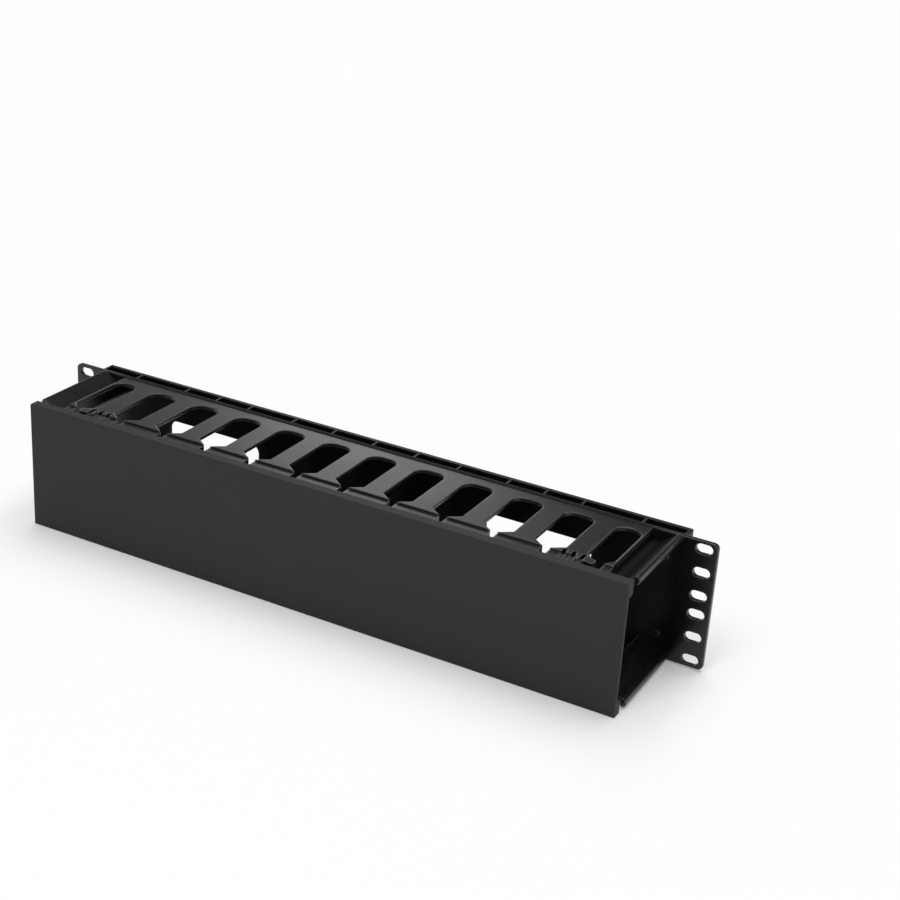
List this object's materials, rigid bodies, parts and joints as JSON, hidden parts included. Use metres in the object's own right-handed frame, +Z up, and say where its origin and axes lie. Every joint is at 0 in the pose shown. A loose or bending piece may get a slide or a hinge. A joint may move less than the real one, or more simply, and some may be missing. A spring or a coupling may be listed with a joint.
{
  "type": "horizontal cable manager",
  "caption": "Rack-width cable manager with slotted finger panels, curved end guides, windows in its back plate and a front cover that swings up.",
  "frame": {"origin": "middle of the underside of the whole object", "axes": "+X along the rack's width, +Y to the rear of the rack, +Z up"},
  "size_m": [0.4826, 0.0908, 0.0889],
  "materials": {
    "base_plastic": "satin black, fine moulded grain",
    "cover_plastic": "satin black, smooth"
  },
  "bodies": {
    "base": {"back_plate": "base_plastic", "upper_rear_channel": "base_plastic", "lower_rear_channel": "base_plastic", "top_finger_panel": "base_plastic", "bottom_finger_panel": "base_plastic", "top_left_guide": "base_plastic", "top_right_guide": "base_plastic", "bottom_left_guide": "base_plastic", "bottom_right_guide": "base_plastic"},
    "cover": {"front_cover": "cover_plastic"}
  },
  "joints": [
    {"name": "cover_hinge", "type": "hinge", "parent": "base", "child": "cover", "pos_m": [0, -0.02855, 0.0835], "axis": [-1, 0, 0], "range_deg": [0, 105]}
  ]
}
